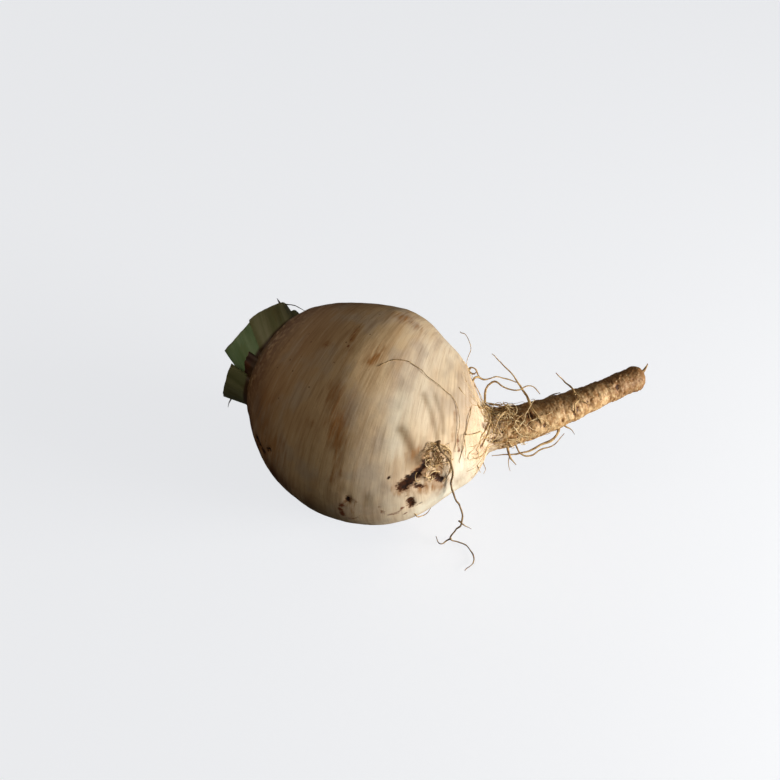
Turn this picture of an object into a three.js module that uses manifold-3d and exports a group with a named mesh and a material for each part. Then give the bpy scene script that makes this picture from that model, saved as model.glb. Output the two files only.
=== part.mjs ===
// A white turnip as pulled from the ground and trimmed, lying on its side.
// The root is one piece that grew as one: the round bulb, its corky crown, the bent and
// ringed taproot, and the rootlets that sprout from them. The cut stubs of the leaf stalks
// stand round the crown as pieces of their own.
// The frame is in millimetres, +Z up, with the origin on the small flat spot that the turnip
// rests on, under its weight. The taproot points along +X and the viewer looks along +Y.
import * as THREE from "three";
import { mergeVertices } from "three/addons/utils/BufferGeometryUtils.js";
import Module from "manifold-3d";

const wasm = await Module();
wasm.setup();

const { clamp, degToRad, lerp } = THREE.MathUtils;

// The middle line of the root: the crown, the two points that bend it, and the tip
const SPINE = [
  [-41.5, 27.5, 50],
  [28.5, -24, 32.5],
  [50.5, -19, 46.5],
  [111, 16.5, 47],
];

// The bulb: an egg, drawn in towards the taproot
const BULB_LENGTH = 98;
const BULB_RADIUS = 42.3;
const BULB_DRAWN_IN = 0.2;

// Swellings that stand out on one side, with as much missing on the other: the shoulder
// above the neck, the low belly, and a flat cheek beside the crown. Round is in degrees.
const SWELLINGS = [
  { along: 88, width: 10, height: 4, round: -45 },
  { along: 55, width: 25, height: 0.7, round: 135 },
  { along: 12, width: 10, height: -1.3, round: 135 },
];

// The taproot: its radius where it leaves the bulb and near its end, the flare that joins
// it to the bulb, its blunt tip, and the knuckles along it
const NECK_ALONG = 100;
const NECK_RADIUS = 8.6;
const THIN_ALONG = 150;
const THIN_RADIUS = 5;
const FLARE_ALONG = 92;
const FLARE_WIDTH = 6;
const FLARE_HEIGHT = 5;
const TIP_ROUNDING = 4;
const KNUCKLE_SPACING = 9.6;
const KNUCKLE_HEIGHT = 0.3;

// Broken rings pressed into the taproot
const RING_COUNT = 17;
const RING_DEPTH = 0.35;
const RING_HALF_WIDTH = 1.1;

// Leaf scars: low ridges round the crown, outside the stubs
const SCARS_ALONG = [7.5, 10.5];
const SCAR_HEIGHT = 0.5;
const SCAR_HALF_WIDTH = 1.2;

// How far hidden rootlets are sunk into the root, and every rootlet's faces and thin end
const SUNK = 3;
const ROOTLET_SIDES = 4;
const ROOTLET_STEP = 4;
const ROOTLET_END = 0.8;

// Rootlets that the neck and taproot carry on the viewer's side. A route's points are the
// distance along the root, the angle round it in degrees, and the height above the skin.
const ROOTLETS = [
  // Two stiff ones that rise behind the taproot, the first leaning back over the neck
  {
    thick: 1.8,
    route: [
      [118, 20, -3], [118, -22, 1], [117.5, -48, 5.5],
      [116, -47, 10], [112.5, -46, 15.5], [107.5, -45, 21],
    ],
  },
  { thick: 1.5, route: [[136, 27, -3], [136.5, -10, 1], [136.5, -50, 3.5], [134, -50, 8.5]] },
  // The forked one above the neck, and one that runs along the taproot behind it
  { thick: 1.5, route: [[94, -30, -3], [97, -38, 6.5], [101.5, -43, 10.5], [107, -46, 12], [116, -48, 9]] },
  { thick: 1.3, route: [[92, -42, -3], [95, -40, 5], [98.5, -43, 10], [101, -43, 10.5]] },
  {
    thick: 1.4,
    route: [
      [99, -30, -3], [104.5, -47, 10], [110, -46, 7.5],
      [115, -47, 6], [121.5, -48, 6], [124, -50, 2],
    ],
  },
  // Pale ones that lie across the neck
  { thick: 1.4, route: [[94, 2, -3], [97, 8, 1.5], [101, -8, 1.5], [103, 20, 0.5]] },
  { thick: 1.2, route: [[107, -14, -3], [106.5, 3, 1.5], [101.5, 38, 1.5], [99.5, 74, 1]] },
  // Under the taproot: a long one that runs back to the bulb, a thin arch and a short stub
  {
    thick: 1.8,
    route: [
      [128, 112, -3], [124.5, 127, 2], [116.5, 129, 3.3],
      [110, 131, 3.6], [105.5, 133, 2.8], [99.5, 134, 1.5],
    ],
  },
  { thick: 1.1, route: [[108, 122, -3], [111, 130, 5], [117.5, 130, 5], [124, 129, 4.5], [128, 127, 2.5]] },
  { thick: 2, route: [[105.5, 118, -3], [106, 130, 4], [107.5, 131, 7.5]] },
  // The nest of loops on the corky patch beside the neck
  { thick: 1.1, route: [[79, 66, -3], [81, 60, 3], [85, 58, 4], [88, 66, 3], [87, 76, -2]] },
  { thick: 1.2, route: [[80, 76, -3], [83, 68, 4], [86, 63, 3], [84, 56, 2], [81, 57, -2]] },
  { thick: 1.1, route: [[82, 84, -3], [84, 79, 4], [88, 72, 4.5], [87, 62, 3], [83, 62, -2]] },
  { thick: 1.2, route: [[76, 70, -3], [79, 75, 3], [82, 81, 3], [85, 86, -2]] },
];

// The rootlet that leaves the nest, hangs down from the bulb and lies on the table, and its
// two side twigs. Off the bulb its points are places in the part's own frame.
const HANGING_THICK = 1.3;
const HANGING_START = [
  [83.5, 48, -3],
  [83.5, 54, 2.5],
  [85.5, 61, 3.5],
  [87, 69, 3.5],
  [87.3, 78, 3],
  [86.7, 91, 2],
];
const HANGING_FREE = [
  [34, -36, 31],
  [36.5, -35, 24],
  [37, -35, 15],
  [35, -34, 9.5],
  [33.5, -33.5, 3],
  [36, -33, 1.2],
  [40.5, -36.5, 0.9],
  [42.5, -41, 0.9],
  [41.5, -44.5, 0.9],
  [38.5, -47.5, 0.9],
];
const HANGING_TWIGS = [
  [[36, -35, 17], [38.5, -35.3, 14], [41, -35.5, 12]],
  [[33.5, -33.5, 4], [31.5, -33, 1.5], [29, -34, 1], [27.5, -31, 2.5]],
];

// Rootlets under and behind the neck and taproot, drawn by rule within these limits
const HIDDEN_COUNT = 14;
const HIDDEN_ALONG = [97, 128];
const HIDDEN_ROUND = [190, 250];
const HIDDEN_REACH = [4, 8];
const HIDDEN_THICK = [1.2, 1.8];
const HIDDEN_CURL = 15;
const HIDDEN_TO_NECK = 0.6;
const LOWEST_POINT = 0.9;

// The stubs of the leaf stalks: their place round the crown in degrees and out from its
// middle, how far they reach to either side in degrees, their thickness, how high they
// stand over the crown's middle, how steeply the cut rises round the crown, and how much
// they lean outwards and, in degrees, twist round the crown with each millimetre of height.
const STUBS = [
  { round: 4, out: 17, spread: 38, thick: 6.5, height: 4.7, rise: 0.1, lean: 0.1, twist: 2 },
  { round: 70, out: 14.5, spread: 26.5, thick: 6, height: 8, rise: 0.15, lean: 0.1, twist: 2 },
  { round: 109, out: 20.8, spread: 34, thick: 5, height: 2.3, rise: 0.15, lean: 0.3, twist: 0.5 },
  { round: 163, out: 17.5, spread: 17, thick: 6, height: 3, rise: 0.15, lean: 0.2, twist: 0 },
  { round: 200, out: 18, spread: 18, thick: 5.5, height: 2.5, rise: -0.1, lean: 0.2, twist: 0 },
  { round: 241, out: 17, spread: 19, thick: 6, height: 4, rise: 0.2, lean: 0.15, twist: 0 },
  { round: 284, out: 17, spread: 20, thick: 5.5, height: 2.5, rise: -0.2, lean: 0.15, twist: 0 },
  { round: 175, out: 8, spread: 50, thick: 5, height: 7, rise: 0.1, lean: 0.05, twist: 1 },
  { round: 305, out: 8, spread: 52, thick: 5.5, height: 8, rise: -0.1, lean: 0.05, twist: 1 },
];
const STUB_RIB = 0.5;
const STUB_CORNER = 0.25;
const STUB_FOOT = 6;
const STUB_CUT_SLOPE = 0.3;
const STUB_CUT_WAVE = 0.5;
const STUB_SUNK = 14;
const STUB_OUTER_FACES = 8;
const STUB_INNER_FACES = 4;
const STUB_STEPS = 3;

// The air left between a stub and the crown
const GAP = 0.3;

// Faces: sides round the root, and stations along the bulb and over the tip
const ROOT_SIDES = 36;
const BULB_STATIONS = 26;
const BULB_TURN = 0.94 * Math.PI;
const TIP_STATIONS = 4;
const CLOSEST_STATIONS = 0.3;

// The table that the turnip lies on, taken away from under it to leave the flat spot
const TABLE_SIZE = 400;
const TABLE_DEPTH = 20;

// Seeded random numbers from 0 to 1, so that every build is the same
function seeded(seed) {
  let state = seed;
  return () => {
    state = (state * 1664525 + 1013904223) % 4294967296;
    return state / 4294967296;
  };
}

const random = seeded(7);
const between = ([low, high], share) => lerp(low, high, share);

const spine = new THREE.CubicBezierCurve3(...SPINE.map((point) => new THREE.Vector3(...point)));
spine.arcLengthDivisions = 600;
const ROOT_LENGTH = spine.getLength();

const rings = Array.from({ length: RING_COUNT }, (_, i) => ({
  along: NECK_ALONG + 3 + ((ROOT_LENGTH - NECK_ALONG - 8) * (i + 0.5 * random())) / RING_COUNT,
  round: 2 * Math.PI * random(),
  depth: RING_DEPTH * (0.5 + random()),
}));

// A soft bump: 1 at its middle, fading to nothing a little past its width.
function hump(distance, width) {
  return Math.exp(-((distance / width) ** 2));
}

// Where the middle line is at a distance along it, which way it runs, and which ways are
// up (round the root 0 degrees) and towards the viewer (90 degrees).
function frameAt(along) {
  const share = clamp(along / ROOT_LENGTH, 0, 1);
  const point = spine.getPointAt(share);
  const ahead = spine.getTangentAt(share);
  const up = new THREE.Vector3(0, 0, 1).addScaledVector(ahead, -ahead.z).normalize();
  const front = new THREE.Vector3().crossVectors(ahead, up);
  return { point, ahead, up, front };
}

// The smooth radius of the root at a distance along it.
function plainRadius(along) {
  const middle = BULB_LENGTH / 2;
  const share = (along - middle) / middle;
  const round = BULB_RADIUS * Math.sqrt(Math.max(0, 1 - share ** 2));
  const bulb = round * (1 - BULB_DRAWN_IN * Math.max(0, share) ** 3);
  const thinning = clamp((along - NECK_ALONG) / (THIN_ALONG - NECK_ALONG), -1, 1);
  const flare = FLARE_HEIGHT * hump(along - FLARE_ALONG, FLARE_WIDTH);
  const taproot = (lerp(NECK_RADIUS, THIN_RADIUS, thinning) + flare) * Math.min(1, along / middle);
  const intoTip = Math.max(0, along - (ROOT_LENGTH - TIP_ROUNDING)) / TIP_ROUNDING;
  return Math.hypot(bulb, taproot * Math.sqrt(Math.max(0, 1 - intoTip ** 2)));
}

// The relief on the smooth radius: lobes, swellings, leaf scars, knuckles and rings.
function relief(along, round) {
  const lobes = 0.5 * Math.sin(3 * round + along / 23) + 0.4 * Math.sin(2 * round - along / 17 + 1);
  let height = (lobes * plainRadius(along)) / BULB_RADIUS;
  for (const swelling of SWELLINGS) {
    const side = Math.cos(round - degToRad(swelling.round));
    height += swelling.height * side * hump(along - swelling.along, swelling.width);
  }
  for (const scar of SCARS_ALONG) height += SCAR_HEIGHT * hump(along - scar, SCAR_HALF_WIDTH);
  if (along > NECK_ALONG) {
    const fade = Math.min(1, (along - NECK_ALONG) / 5, (ROOT_LENGTH - along) / 3);
    const wave = Math.sin((2 * Math.PI * along) / KNUCKLE_SPACING + Math.sin(round));
    height += fade * KNUCKLE_HEIGHT * wave;
    for (const ring of rings) {
      const broken = 0.6 + 0.4 * Math.cos(round - ring.round);
      height -= ring.depth * broken * hump(along - ring.along, RING_HALF_WIDTH / 2);
    }
  }
  return height;
}

// A point by its distance along the root, the angle round it in radians, and its height
// above the skin.
function onRoot(along, round, height = 0) {
  const { point, up, front } = frameAt(along);
  const out = Math.max(0, plainRadius(along) + relief(along, round) + height);
  return point.addScaledVector(up, out * Math.cos(round)).addScaledVector(front, out * Math.sin(round));
}

// A closed geometry as a solid that can be joined and cut.
function solidOf(geometry) {
  const bare = geometry.index ? geometry.toNonIndexed() : geometry.clone();
  bare.deleteAttribute("normal");
  bare.deleteAttribute("uv");
  const merged = mergeVertices(bare, 1e-3);
  const corners = merged.index.array;
  const faces = [];
  for (let i = 0; i < corners.length; i += 3) {
    const [a, b, c] = corners.subarray(i, i + 3);
    if (a !== b && b !== c && c !== a) faces.push(a, b, c);
  }
  return new wasm.Manifold(
    new wasm.Mesh({
      numProp: 3,
      vertProperties: merged.attributes.position.array,
      triVerts: new Uint32Array(faces),
    }),
  );
}

// A solid as a geometry again.
function geometryOf(solid) {
  const { vertProperties, triVerts } = solid.getMesh();
  const geometry = new THREE.BufferGeometry();
  geometry.setAttribute("position", new THREE.BufferAttribute(vertProperties, 3));
  geometry.setIndex(new THREE.BufferAttribute(triVerts, 1));
  geometry.computeVertexNormals();
  return geometry;
}

// Moves each point of a geometry to where a function of its x, y and z puts it.
function reshape(geometry, move) {
  const position = geometry.attributes.position;
  for (let i = 0; i < position.count; i++) {
    const at = move(position.getX(i), position.getY(i), position.getZ(i));
    position.setXYZ(i, at.x, at.y, at.z);
  }
  return geometry;
}

// The distances along the root that have a ring of points: closer at the crown, three to
// each pressed ring, and closer again over the tip.
function rootStations() {
  const stations = [];
  for (let i = 0; i <= BULB_STATIONS; i++)
    stations.push((BULB_LENGTH / 2) * (1 - Math.cos((BULB_TURN * i) / BULB_STATIONS)));
  for (const ring of rings)
    for (const side of [-1, 0, 1]) stations.push(ring.along + side * RING_HALF_WIDTH);
  for (let i = 0; i <= TIP_STATIONS; i++) {
    const turn = (Math.PI / 2) * (i / TIP_STATIONS);
    stations.push(ROOT_LENGTH - TIP_ROUNDING * (1 - Math.sin(turn)));
  }
  stations.sort((a, b) => a - b);
  return stations.filter((along, i) => i === 0 || along - stations[i - 1] > CLOSEST_STATIONS);
}

// The bulb and taproot: a turned shape, bent along the middle line. A coat makes it larger
// by that much all over.
function rootBody(coat = 0) {
  const stations = rootStations();
  const last = stations.at(-1);
  const outline = stations.map((along) => {
    const onAxis = along === 0 || along === last;
    return new THREE.Vector2(onAxis ? 0 : plainRadius(along), along);
  });
  const turned = new THREE.LatheGeometry(outline, ROOT_SIDES);
  const bent = reshape(turned, (x, along, z) => {
    if (Math.hypot(x, z) > 1e-6) return onRoot(along, Math.atan2(x, z), coat);
    const { point, ahead } = frameAt(along);
    return point.addScaledVector(ahead, along === 0 ? -coat : coat);
  });
  return solidOf(bent);
}

// A rootlet: a thin tapered rod bent along a line of points.
function rootlet(points, thick) {
  const path = new THREE.CatmullRomCurve3(points);
  const length = path.getLength();
  const steps = Math.max(3, Math.round(length / ROOTLET_STEP));
  const rod = new THREE.CylinderGeometry(ROOTLET_END / 2, thick / 2, length, ROOTLET_SIDES, steps);
  const { tangents, normals } = path.computeFrenetFrames(steps);
  const bent = reshape(rod, (x, y, z) => {
    const step = Math.round((y / length + 0.5) * steps);
    const side = new THREE.Vector3().crossVectors(normals[step], tangents[step]);
    return path
      .getPointAt(step / steps)
      .addScaledVector(normals[step], x)
      .addScaledVector(side, z);
  });
  return solidOf(bent);
}

// A route's points in the part's frame, kept off the table.
function placesOn(route) {
  return route.map(([along, round, height]) => {
    const at = onRoot(along, degToRad(round), height);
    at.z = Math.max(at.z, LOWEST_POINT);
    return at;
  });
}

function places(list) {
  return list.map((place) => new THREE.Vector3(...place));
}

// One rootlet of the hidden side: it leaves the skin, rises, and curls to one end.
function hiddenRootlet(share) {
  const along = between(HIDDEN_ALONG, random());
  const round = between(HIDDEN_ROUND, share);
  const reach = between(HIDDEN_REACH, random());
  const heading = random() < HIDDEN_TO_NECK ? -1 : 1;
  const curl = HIDDEN_CURL * (2 * random() - 1);
  const route = [
    [along, round, -SUNK],
    [along + heading, round + 0.2 * curl, 0.35 * reach],
    [along + 4 * heading, round + 0.6 * curl, 0.75 * reach],
    [along + 8 * heading, round + curl, reach],
    [along + 11 * heading, round + 1.6 * curl, 0.9 * reach],
  ];
  return rootlet(placesOn(route), between(HIDDEN_THICK, random()));
}

function allRootlets() {
  const grown = ROOTLETS.map(({ thick, route }) => rootlet(placesOn(route), thick));
  grown.push(rootlet([...placesOn(HANGING_START), ...places(HANGING_FREE)], HANGING_THICK));
  for (const twig of HANGING_TWIGS) grown.push(rootlet(places(twig), ROOTLET_END));
  for (let i = 0; i < HIDDEN_COUNT; i++) grown.push(hiddenRootlet((i + random()) / HIDDEN_COUNT));
  return grown;
}

// The outline of a leaf stalk cut across: a curved slice, ribbed on its outer face, with
// its outer corners taken off.
function stalkOutline({ out, spread, thick }) {
  const half = degToRad(spread);
  const points = [];
  for (let i = 0; i <= STUB_OUTER_FACES; i++) {
    const atCorner = i === 0 || i === STUB_OUTER_FACES;
    const edge = atCorner ? -STUB_CORNER * thick : STUB_RIB * (i % 2);
    points.push([out + thick / 2 + edge, half * ((2 * i) / STUB_OUTER_FACES - 1)]);
  }
  for (let i = 0; i <= STUB_INNER_FACES; i++)
    points.push([out - thick / 2, 0.9 * half * (1 - (2 * i) / STUB_INNER_FACES)]);
  const turned = points.map(([radius, angle]) => {
    return new THREE.Vector2(radius * Math.cos(angle), radius * Math.sin(angle));
  });
  return new THREE.Shape(turned);
}

// A stub of a leaf stalk: the outline raised from under the crown's skin, leaning and
// twisting from its foot upwards and cut off with a slope, then cut away where the crown is.
function leafStub(stub, crown) {
  const depth = stub.height + STUB_SUNK;
  const raised = new THREE.ExtrudeGeometry(stalkOutline(stub), {
    depth,
    steps: STUB_STEPS,
    bevelEnabled: false,
  });
  const { point, ahead, up, front } = frameAt(0);
  const placed = reshape(raised, (x, y, z) => {
    const slope = STUB_CUT_SLOPE * (x - stub.out) + stub.rise * y;
    const top = stub.height - slope + STUB_CUT_WAVE * Math.cos(y);
    const level = lerp(-STUB_SUNK, top, z / depth);
    const above = Math.max(0, level + STUB_FOOT);
    const out = Math.hypot(x, y) + stub.lean * above;
    const turn = degToRad(stub.round - stub.twist * above) - Math.atan2(y, x);
    return point
      .clone()
      .addScaledVector(up, out * Math.cos(turn))
      .addScaledVector(front, out * Math.sin(turn))
      .addScaledVector(ahead, -level);
  });
  return solidOf(placed).subtract(crown);
}

function piece(name, solid, color, roughness) {
  const material = new THREE.MeshStandardMaterial({ color, roughness, metalness: 0 });
  const mesh = new THREE.Mesh(geometryOf(solid), material);
  mesh.name = name;
  return mesh;
}

const table = new THREE.BoxGeometry(TABLE_SIZE, TABLE_SIZE, TABLE_DEPTH);
table.translate(0, 0, -TABLE_DEPTH / 2);

let root = rootBody();
for (const grown of allRootlets()) root = root.add(grown);
root = root.subtract(solidOf(table));

const turnip = new THREE.Group();
turnip.add(piece("root", root, "#efe3c8", 0.55));
const crown = rootBody(GAP);
STUBS.forEach((stub, i) => {
  turnip.add(piece(`leaf_stub_${i + 1}`, leafStub(stub, crown), "#a9ab7c", 0.6));
});

export default turnip;
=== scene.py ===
import math
import random

import bpy
import numpy as np
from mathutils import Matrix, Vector, noise
from mathutils.geometry import interpolate_bezier


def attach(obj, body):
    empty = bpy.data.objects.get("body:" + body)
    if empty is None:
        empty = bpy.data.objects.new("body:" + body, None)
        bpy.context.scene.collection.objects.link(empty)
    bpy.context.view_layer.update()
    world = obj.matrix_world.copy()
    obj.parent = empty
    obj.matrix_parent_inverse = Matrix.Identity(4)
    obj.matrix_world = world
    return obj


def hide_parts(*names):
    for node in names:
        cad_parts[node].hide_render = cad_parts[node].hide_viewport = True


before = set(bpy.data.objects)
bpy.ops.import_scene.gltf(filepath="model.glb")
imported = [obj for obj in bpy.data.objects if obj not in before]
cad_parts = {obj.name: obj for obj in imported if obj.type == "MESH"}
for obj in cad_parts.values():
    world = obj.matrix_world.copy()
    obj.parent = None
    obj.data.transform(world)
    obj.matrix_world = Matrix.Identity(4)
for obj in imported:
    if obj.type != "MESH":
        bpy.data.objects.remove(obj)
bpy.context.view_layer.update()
bpy.ops.object.select_all(action="DESELECT")

# The root: a bulb of crisp white flesh that thins into a woody, ringed taproot, under one
# thin cream skin. Soil and handling have stained the skin, and the crown is corky.
# It is a ball drawn out along the root's middle line, with its relief pushed into it.
MM = 0.001
SPINE = [(-41.5, 27.5, 50), (28.5, -24, 32.5), (50.5, -19, 46.5), (111, 16.5, 47)]
SPINE_STEPS = 400
BULB_LENGTH = 98
BULB_RADIUS = 42.3
BULB_DRAWN_IN = 0.2

# Lobes that run along the root: how high, how many, how far along for each radian that they
# turn, and where they start. Swellings: how far along, how long, how high and on which side.
LOBES = [(0.5, 3, 23, 0), (0.4, 2, -17, 1)]
SWELLINGS = [(88, 10, 4, -45), (55, 25, 0.7, 135), (12, 10, -1.3, 135)]
NECK_ALONG = 100
NECK_RADIUS = 8.6
THIN_ALONG = 150
THIN_RADIUS = 5
FLARE_ALONG = 92
FLARE_WIDTH = 6
FLARE_HEIGHT = 5
TIP_ROUNDING = 4
KNUCKLE_SPACING = 9.6
KNUCKLE_HEIGHT = 0.14
SCARS_ALONG = [7.5, 10.5]
SCAR_HEIGHT = 0.5
SCAR_HALF_WIDTH = 1.2

# Faces: sides round the root, and rings of points over the bulb, the taproot and its tip
SIDES = 192
BULB_RINGS = 170
BULB_TURN = 0.86 * math.pi
TAPROOT_RINGS = 250
TIP_RINGS = 16

# Grooves round the taproot: how many, how deep and wide, and how far each wanders
GROOVES = 46
GROOVE_DEPTH = 0.2
GROOVE_WIDTH = (0.25, 0.6)
GROOVE_WANDER = 0.9

# The groove between the crown and the leaf stalks, and the skin's unevenness
COLLAR_ALONG = 5
COLLAR_WIDTH = 1.8
COLLAR_DEPTH = 1.2
UNEVEN_SIZE = 14
UNEVEN_HEIGHT = 0.35

# Marks on the skin: a size in millimetres, a strength, and a route of places, each the
# distance along the root and the angle round it in degrees. Soft orange-brown stains:
STAINS = [
    (4, 0.6, [(47, 36), (49, 42), (50, 46)]),
    (5, 0.65, [(52, 52), (54.5, 60)]),
    (3, 0.5, [(55.5, 66), (57, 76), (55.4, 82)]),
    (1.2, 0.9, [(41.4, 1), (42.8, 10)]),
    (3, 0.4, [(40, 358), (44, 14)]),
    (1.8, 0.8, [(55.5, 12), (54.5, 17)]),
    (4, 0.35, [(53, 18), (56, 8)]),
    (5, 0.5, [(53, 338), (62, 338)]),
    (1.8, 0.5, [(33.5, 17), (36, 15)]),
    (1.2, 0.5, [(87.9, 28), (87.2, 50)]),
    (2.5, 0.3, [(89, 40), (88.6, 60)]),
    (3.5, 0.35, [(61.5, 92), (61.5, 108)]),
    (4, 0.55, [(80, 62), (83, 60), (84, 72), (82, 82), (79, 72)]),
    (3, 0.4, [(75, 62), (79.5, 56)]),
    (4.5, 0.5, [(74, 84), (84, 92)]),
    (8, 0.5, [(26, 92), (34, 84)]),
    (6, 0.45, [(23, 60), (24, 80)]),
    (9, 0.4, [(44, 200), (60, 215)]),
    (5, 0.5, [(76, 250), (70, 300)]),
]
# Rust-brown rings and lines, where a rootlet was rubbed off:
RUST = [
    (1.2, 0.75, [(59.2, 97), (58.8, 103), (59.1, 108)]),
    (1, 0.6, [(59.1, 108), (61, 111.5), (63.2, 109)]),
    (0.9, 0.55, [(59.2, 97), (61.2, 92), (63.2, 93)]),
    (0.8, 0.45, [(63.2, 93), (64.4, 99), (63.2, 109)]),
    (1.1, 0.6, [(69.1, 98), (69.6, 103), (71, 106), (73.4, 106), (74.6, 102)]),
    (0.5, 0.8, [(74.5, 110), (76, 112)]),
    (0.4, 0.6, [(40.6, 1), (42.2, 9), (42.9, 13)]),
    (0.4, 0.4, [(45.3, 29), (49.3, 28), (52.4, 24), (57.9, 17)]),
    (0.6, 0.6, [(33, 16), (35, 17)]),
    (0.7, 0.6, [(88.6, 42), (88.8, 60)]),
]
# Wide dark brown patches: partly real staining, and partly painted shade, strongest low on
# the front near the crown, on the side away from the light:
STAIN_AND_SHADE_PATCHES = [
    (10, 1, [(16, 100), (30, 106), (44, 112)]),
    (8, 0.5, [(14, 60), (24, 78)]),
    (10, 0.6, [(24, 150), (40, 170)]),
    (7, 0.45, [(16, 300), (24, 330)]),
    (5, 0.35, [(52, 40), (54, 62)]),
]
# Near-white skin: partly clean skin where the soil came off, and partly painted light,
# strongest low on the front by the neck, where the light falls brightest:
PALE_AND_PAINTED_LIGHT = [
    (6, 1, [(89, 76), (89.6, 93), (87, 112), (80, 116)]),
    (4, 0.5, [(70, 30), (72, 60)]),
]
# Dark red-brown corky scars, which are sunk and rough:
CORK = [
    (2.5, 1, [(74.6, 82), (76.3, 78)]),
    (2, 1, [(76.3, 78), (77.7, 74)]),
    (1.4, 0.85, [(77.7, 74), (79.2, 70), (80, 65)]),
    (1, 0.75, [(77.6, 83), (79.5, 86)]),
    (1.5, 1, [(81.8, 77), (82.9, 81)]),
    (1.2, 1, [(82.9, 81), (84.1, 86)]),
    (1.4, 1, [(76.4, 95), (76.7, 103)]),
    (0.9, 0.9, [(60.7, 91), (61, 93)]),
    (0.6, 0.7, [(71, 75)]),
    (0.5, 0.7, [(78, 104), (79, 106)]),
    (0.5, 0.7, [(58, 338)]),
    (0.6, 0.6, [(75.9, 90)]),
    (1.6, 0.9, [(23, 95), (25.2, 97), (27.7, 97)]),
    (0.9, 0.8, [(30, 90), (31, 88)]),
    (3, 0.8, [(80, 230), (84, 238)]),
    (1.4, 0.8, [(66, 262)]),
]
# Soft grey-brown shadows where the skin is creased:
CREASES = [
    (2, 0.85, [(72, 46), (73.1, 48), (75, 54), (76.6, 60), (77.9, 66)]),
    (2.6, 0.5, [(75.5, 60), (76.5, 66)]),
    (1.3, 0.6, [(76.4, 22), (78.2, 26), (80.1, 33), (81.7, 42), (82.6, 49)]),
    (1.2, 0.5, [(80.5, 20), (82.3, 27), (83.7, 35), (84.1, 44)]),
    (1.3, 0.4, [(78.8, 50), (77.6, 60)]),
    (2.2, 0.45, [(66, 89), (66.2, 95)]),
    (1.4, 0.25, [(68, 20), (69.5, 34)]),
]
CREASE_DEPTH = 0.35
CORK_DEPTH = 0.9
CORK_LUMP = 1.1

# Scars of lost rootlets on the taproot and neck: place, half-length round the root and
# half-width along it in millimetres, and depth. More follow by rule round all sides, with
# a length and width for each millimetre of their depth.
PITS = [
    (154.2, 48, 2.4, 1.1, 0.7), (149.9, 78, 1.2, 0.6, 0.5), (139.7, 58, 1.8, 0.9, 0.6),
    (141, 17, 1.1, 0.7, 0.4), (150, 15, 1.2, 0.6, 0.4), (156.6, 94, 1.3, 0.6, 0.5),
    (100.7, 74, 2.2, 0.9, 0.9), (108.5, 19, 1.5, 1.2, 0.7), (115.9, 22, 2.2, 1.3, 0.9),
    (109.4, 83, 1.1, 0.8, 0.6), (120.3, 72, 1.8, 0.7, 0.7), (127.5, 80, 1.4, 0.7, 0.6),
    (134.9, 60, 1.6, 1, 0.7), (100, 28, 1.6, 0.8, 0.7), (97.4, 34, 1.4, 0.8, 0.6),
    (114.4, 50, 1.9, 1.1, 0.8), (133, 72, 1.4, 0.7, 0.6), (104, 52, 1.2, 0.8, 0.6),
    (145, 40, 1.3, 0.6, 0.4), (96, 66, 1.5, 0.8, 0.6), (112, 92, 1.2, 0.7, 0.6),
]
PIT_COUNT = 60
PIT_ALONG = (95, 160)
PIT_ROUND = (110, 380)
PIT_DEEP = (0.2, 0.6)
PIT_LENGTH = 2
PIT_WIDTH = 0.9
PIT_PRESS = 0.9

# Fine unevenness: the size of its lumps and their height, all over and on the bark. The
# large lumps have their full height where the root is at least this thick.
FULL_RADIUS = 30
FINE_LUMPS = (3, 0.1)
BARK_LUMPS = [(2.4, 0.22), (0.9, 0.2)]


def hump(distance, width):
    return np.exp(-((distance / width) ** 2))


spine = np.array(interpolate_bezier(*[Vector(point) for point in SPINE], SPINE_STEPS))
spine_along = np.concatenate(([0], np.cumsum(np.linalg.norm(np.diff(spine, axis=0), axis=1))))
spine_ahead = np.gradient(spine, spine_along, axis=0)
ROOT_LENGTH = spine_along[-1]


def frame_at(along):
    """The middle line's place, and the ways ahead, up and to the viewer, at a distance."""
    point = np.stack([np.interp(along, spine_along, spine[:, axis]) for axis in range(3)], -1)
    ahead = np.stack([np.interp(along, spine_along, spine_ahead[:, axis]) for axis in range(3)], -1)
    ahead /= np.linalg.norm(ahead, axis=-1, keepdims=True)
    up = np.array((0, 0, 1)) - ahead * ahead[..., 2:]
    up /= np.linalg.norm(up, axis=-1, keepdims=True)
    return point, ahead, up, np.cross(ahead, up)


def plain_radius(along):
    middle = BULB_LENGTH / 2
    share = (along - middle) / middle
    bulb = BULB_RADIUS * np.sqrt(np.maximum(0, 1 - share**2))
    bulb = bulb * (1 - BULB_DRAWN_IN * np.maximum(0, share) ** 3)
    thinning = np.clip((along - NECK_ALONG) / (THIN_ALONG - NECK_ALONG), -1, 1)
    flare = FLARE_HEIGHT * hump(along - FLARE_ALONG, FLARE_WIDTH)
    taproot = NECK_RADIUS + (THIN_RADIUS - NECK_RADIUS) * thinning + flare
    taproot = taproot * np.minimum(1, along / middle)
    into_tip = np.clip((along - (ROOT_LENGTH - TIP_ROUNDING)) / TIP_ROUNDING, 0, 1)
    return np.hypot(bulb, taproot * np.sqrt(1 - into_tip**2))


def relief(along, turn):
    """The height of the root's lobes, swellings, leaf scars and knuckles."""
    lobes = sum(high * np.sin(count * turn + along / far + start) for high, count, far, start in LOBES)
    height = lobes * plain_radius(along) / BULB_RADIUS
    for place, width, high, side in SWELLINGS:
        height = height + high * np.cos(turn - math.radians(side)) * hump(along - place, width)
    for scar in SCARS_ALONG:
        height = height + SCAR_HEIGHT * hump(along - scar, SCAR_HALF_WIDTH)
    fade = np.clip(np.minimum((along - NECK_ALONG) / 5, (ROOT_LENGTH - along) / 3), 0, 1)
    wave = np.sin(2 * math.pi * along / KNUCKLE_SPACING + np.sin(turn))
    return height + fade * KNUCKLE_HEIGHT * wave


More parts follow.
